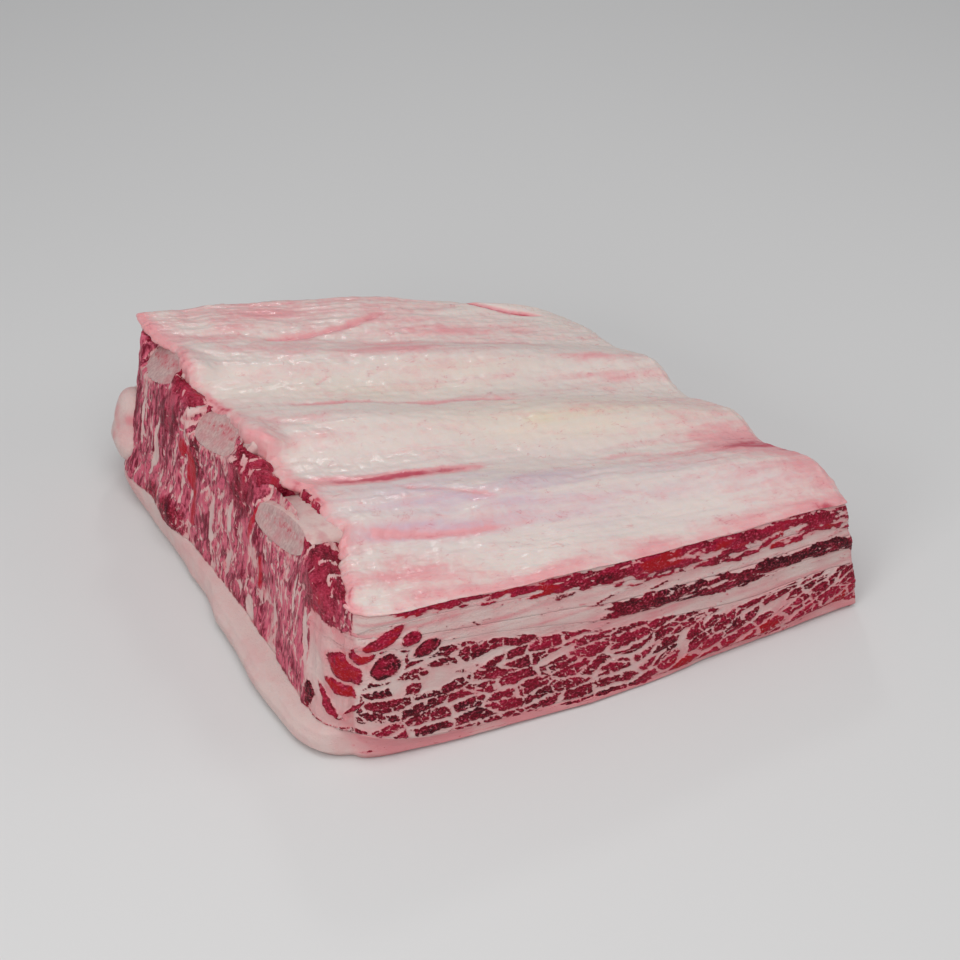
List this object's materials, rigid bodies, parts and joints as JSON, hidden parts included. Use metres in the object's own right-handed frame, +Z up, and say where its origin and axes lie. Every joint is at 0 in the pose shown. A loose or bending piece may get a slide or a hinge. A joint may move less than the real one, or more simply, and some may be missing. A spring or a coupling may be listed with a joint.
{
  "type": "raw beef ribs",
  "caption": "Square-cut slab of raw beef ribs lying bone side up: white skin over ridged ribs, sawn bone ends, layered marbled meat and a fat cap below.",
  "frame": {"origin": "middle of the slab's bounding box, on the surface it lies on", "axes": "+X along the ribs from the thick sawn end to the thin end, +Y across the ribs from the near cut face to the far one, +Z up through the bone side"},
  "size_m": [0.2614, 0.2306, 0.0763],
  "materials": {
    "skin": "wet satin membrane and fat",
    "bone": "sawn bone",
    "dark_meat": "wet raw meat",
    "marbled_meat": "wet marbled raw meat",
    "fat": "soft white fat"
  },
  "bodies": {
    "root": {"membrane_cover": "skin", "intercostal_meat": "dark_meat", "bone_1": "bone", "bone_2": "bone", "bone_3": "bone", "fat_seam_upper": "fat", "thin_muscle": "dark_meat", "fat_seam_lower": "fat", "main_muscle": "marbled_meat", "fat_cap": "fat"}
  },
  "joints": []
}
